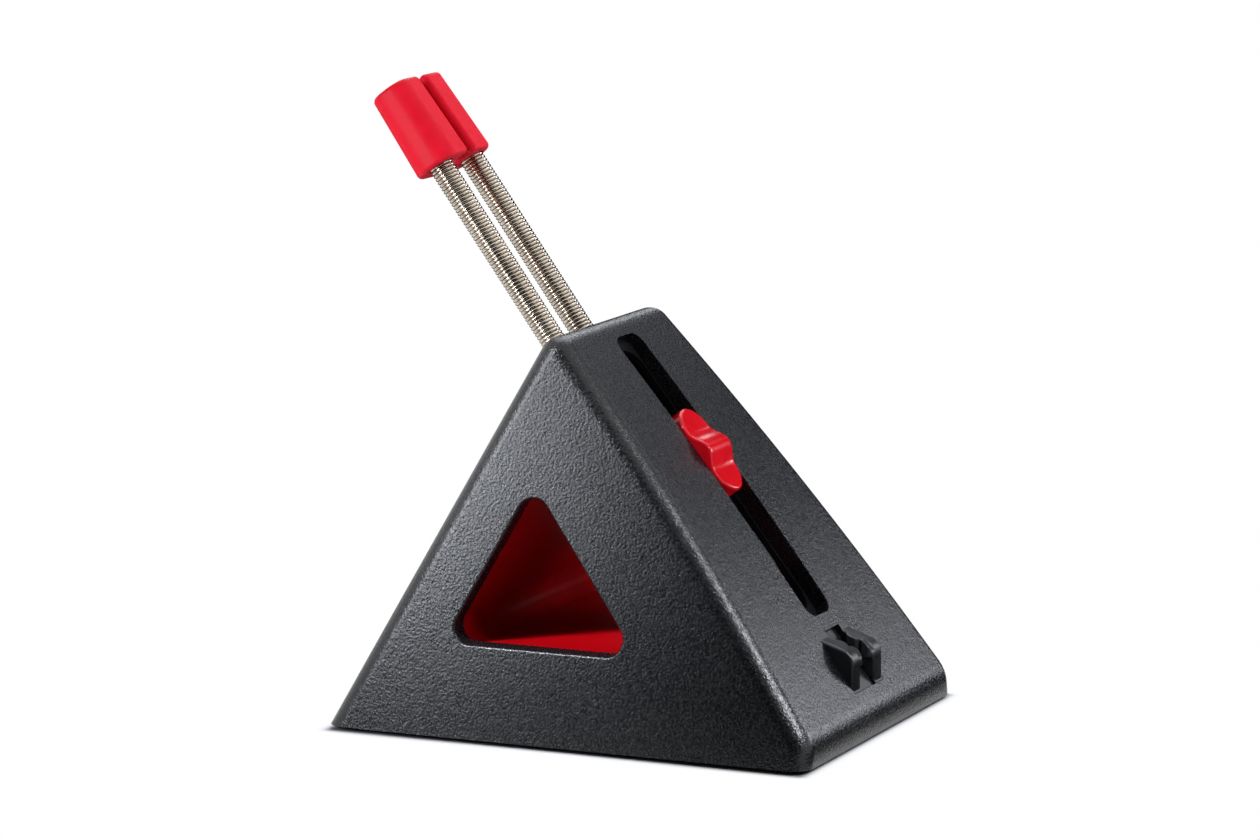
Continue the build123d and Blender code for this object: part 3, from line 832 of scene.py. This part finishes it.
seatZ = baseScrews["seat"] * mm
places = []
for node in ("base_screws", "ballast_screws"):
    low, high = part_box(node)
    inset = baseScrews["headRadius"] * mm
    for x in (low.x + inset, high.x - inset):
        places += [(x, y, seatZ) for y in sorted({round(low.y + inset, 6), round(high.y - inset, 6)})]
mesh = builtMesh("baseScrews", screwTree, {
    "Head Radius": baseScrews["headRadius"] * mm, "Head Height": baseScrews["headHeight"] * mm,
    "Shank Radius": baseScrews["shankRadius"] * mm, "Shank Length": baseScrews["shankLength"] * mm,
    "Recess Length": baseScrews["recessLength"] * mm, "Recess Width": baseScrews["recessWidth"] * mm,
    "Recess Depth": baseScrews["recessDepth"] * mm, "Finish": finishes["screw_steel"]}, places)
smoothed(mesh, baseScrews["sharpAngle"])
screws = show("base_cross_screws", mesh, "screw_steel")
rideOn(screws, "base", "screw_steel", "base_screws", "ballast_screws")
print("base screws:", len(places), "places,", len(mesh.polygons), "faces")


# pieces whose frame shape is right keep it and get their finish
# the sled gets a darker copy of the slider's red: painted shade from the slot
paintedShadeFinishes = {"slider_sled": mouldedPlastic("sledRedPaintedShade", sledRedPaintedShade)}  # in the slot's shade
for part in frame["record"]["subparts"]:
    node = nodes[part["node"]]
    if not node.hide_render:
        node.data.materials.clear()
        node.data.materials.append(paintedShadeFinishes.get(part["node"], finishes[part["material_slot"]]))
print("frame pieces finished")


# floor, light and camera, in metres
# two of these settings paint a shadow into the floor's colour next to the base
studio = {"floorSize": 12.0, "floorTone": 0.93, "floorRough": 0.9, "whiteFrom": 0.0006, "whiteTo": 0.0034,
          "shadowPaintSpan": (0.0, 0.0022), "shadowPaintTone": 0.25, "footInset": (0.0016, 0.0006), "skyLight": 0.05,
          "white": (1.0, 1.0, 1.0), "tint": (0.90, 0.93, 1.0), "cloth": (0.003, 0.003, 0.003),
          "openSpread": 180.0}
# spread is the grid in front of a lamp, in degrees; gloss or matt is False where that light is left out
lamps = {
    "leftStrip": {"place": (-0.12, -0.17, 0.115), "at": (-0.07, -0.03, 0.078), "size": (0.04, 0.12),
                  "power": 0.070, "spread": 66.0},
    "windowSpot": {"place": (-0.10, -0.17, 0.20), "at": (-0.003, -0.022, 0.026), "size": (0.03, 0.03),
                   "power": 0.018, "spread": 22.0},
    "backRight": {"place": (0.36, 0.45, 0.18), "at": (0.02, 0.0, 0.05), "size": (0.20, 0.16), "power": 0.85},
    "backHigh": {"place": (0.22, 0.45, 0.36), "at": (0.02, 0.0, 0.05), "size": (0.36, 0.10), "power": 0.16},
    "backLeft": {"place": (-0.18, 0.55, 0.30), "at": (0.02, 0.0, 0.06), "size": (0.12, 0.12), "power": 0.16},
    "rightHigh": {"place": (0.45, 0.0, 0.50), "at": (0.0, 0.0, 0.06), "size": (0.40, 0.40), "power": 3.3,
                  "gloss": False},
    "footEdge": {"place": (0.42, -0.035, 0.41), "at": (0.066, -0.035, -0.02), "size": (0.10, 0.10),
                 "power": 0.045, "spread": 20.0, "matt": False},
    "overhead": {"place": (-0.10, 0.32, 0.50), "at": (0.0, 0.0, 0.06), "size": (0.40, 0.40), "power": 1.3},
}
camera = {"aim": (-0.000832, 0.0, 0.060323), "azimuth": 23.918, "elevation": 9.475, "distance": 1.112089,
          "lens": 156.61, "sensor": 36.0}
# seen only in reflections: middle, half across, half up
darkCards = {
    "front_curtain": ((0.25, -0.55, 0.32), (0.75, 0.0, 0.0), (0.0, 0.0, 0.34)),
    "front_table": ((0.15, -0.32, 0.0008), (0.65, 0.0, 0.0), (0.0, 0.22, 0.0)),
    "back_flag": ((0.25, 0.60, 0.42), (0.75, 0.0, 0.0), (0.0, 0.0, 0.42)),
    "back_table": ((0.25, 0.34, 0.0008), (0.75, 0.0, 0.0), (0.0, 0.26, 0.0)),
    "side_table": ((0.53, 0.02, 0.0008), (0.473, 0.0, 0.0), (0.0, 0.062, 0.0)),
}


def seenRays(start):
    # camera, glossy and clear rays see a plain white surround
    path = start.node("ShaderNodeLightPath")
    names = ("Is Camera Ray", "Is Glossy Ray", "Is Transmission Ray")
    rays = [Wire(path.socket.node.outputs[name]) for name in names]
    return rays[0].node("ShaderNodeClamp", None, {"Value": rays[0] + rays[1] + rays[2]})


def flatPiece(name, corners, material):
    mesh = bpy.data.meshes.new(name)
    mesh.from_pydata([Vector(c) for c in corners], [], [(0, 1, 2, 3)])
    mesh.materials.append(material)
    piece = placed(name, mesh)
    return piece


def vectorMaths(operation, first, second=(0, 0, 0), output="Vector"):
    return first.node("ShaderNodeVectorMath", {"operation": operation}, {0: first, 1: second}, output)


def paleFloor():
    # paints a shadow into the floor's colour close around the base and turns plain white away from it
    fixed = {"Roughness": studio["floorRough"], "Specular IOR Level": 0.0}
    material, shader, spot = newMaterial("paleFloor", fixed)
    low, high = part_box("housing")
    middle = (low + high) / 2
    reach = (high - low) / 2 - Vector((*studio["footInset"], 0))
    across = vectorMaths("ABSOLUTE", vectorMaths("SUBTRACT", spot, (middle.x, middle.y, 0)))
    across = vectorMaths("MAXIMUM", vectorMaths("SUBTRACT", across, (reach.x, reach.y, 0)))
    away = vectorMaths("LENGTH", across, output="Value")
    # painted shadow: the floor's colour darkens towards the base
    shadowPaintLevel = between(away, studio["floorTone"] * studio["shadowPaintTone"], studio["floorTone"], *studio["shadowPaintSpan"])
    shadowPaintColour = away.node("ShaderNodeCombineColor", None, {"Red": shadowPaintLevel, "Green": shadowPaintLevel, "Blue": shadowPaintLevel})
    feed(shader.inputs["Base Color"], shadowPaintColour)
    fade = away.node("ShaderNodeMapRange", {"interpolation_type": "SMOOTHSTEP"}, {
        "Value": away, "From Min": studio["whiteFrom"], "From Max": studio["whiteTo"]})
    white = away.node("ShaderNodeEmission", None, {"Color": rgba(studio["white"]), "Strength": 1.0})
    blend = away.node("ShaderNodeMixShader", None, {
        0: fade * seenRays(away), 1: Wire(shader.outputs[0]), 2: white})
    output = next(n for n in material.node_tree.nodes if n.type == "OUTPUT_MATERIAL")
    feed(output.inputs["Surface"], blend)
    return material


half = studio["floorSize"] / 2
flatPiece("floor", [(-half, -half, 0), (half, -half, 0), (half, half, 0), (-half, half, 0)], paleFloor())

blackCloth = newMaterial("blackCloth", {
    "Base Color": rgba(studio["cloth"]), "Roughness": 1.0, "Specular IOR Level": 0.0})[0]
for name, (middle, across, up) in darkCards.items():
    middle, across, up = Vector(middle), Vector(across), Vector(up)
    corners = [middle - across - up, middle + across - up, middle + across + up, middle - across + up]
    card = flatPiece(name, corners, blackCloth)
    card.visible_camera = False
    card.visible_shadow = False
    card.visible_diffuse = False

world = bpy.data.worlds.new("whiteStudio")
bpy.context.scene.world = world
world.use_nodes = True
world.node_tree.nodes.clear()
surround = world.node_tree.nodes.new("ShaderNodeBackground")
seen = seenRays(Wire(surround.outputs[0]))
feed(surround.inputs["Strength"], seen * (1 - studio["skyLight"]) + studio["skyLight"])
feed(world.node_tree.nodes.new("ShaderNodeOutputWorld").inputs["Surface"], Wire(surround.outputs[0]))
surround.inputs["Color"].default_value = rgba(studio["white"])

for name, lamp in lamps.items():
    data = bpy.data.lights.new(name, "AREA")
    data.shape = "RECTANGLE"
    data.size, data.size_y = lamp["size"]
    data.energy = lamp["power"]
    data.color = studio["tint"]
    data.spread = radians(lamp.get("spread", studio["openSpread"]))
    light = placed(name, data)
    light.visible_camera = False
    light.visible_glossy = lamp.get("gloss", True)
    light.visible_diffuse = lamp.get("matt", True)
    light.location = lamp["place"]
    light.rotation_euler = (Vector(lamp["at"]) - light.location).to_track_quat("-Z", "Y").to_euler()

turn, tilt = radians(camera["azimuth"]), radians(camera["elevation"])
back = Vector((sin(turn) * cos(tilt), -cos(turn) * cos(tilt), sin(tilt)))
lens = bpy.data.cameras.new("photoView")
lens.lens = camera["lens"]
lens.sensor_width = camera["sensor"]
viewer = placed("photoView", lens)
viewer.location = Vector(camera["aim"]) + back * camera["distance"]
viewer.rotation_euler = (-back).to_track_quat("-Z", "Y").to_euler()
bpy.context.scene.camera = viewer
bpy.context.scene.view_settings.view_transform = "Standard"
print("studio ready")
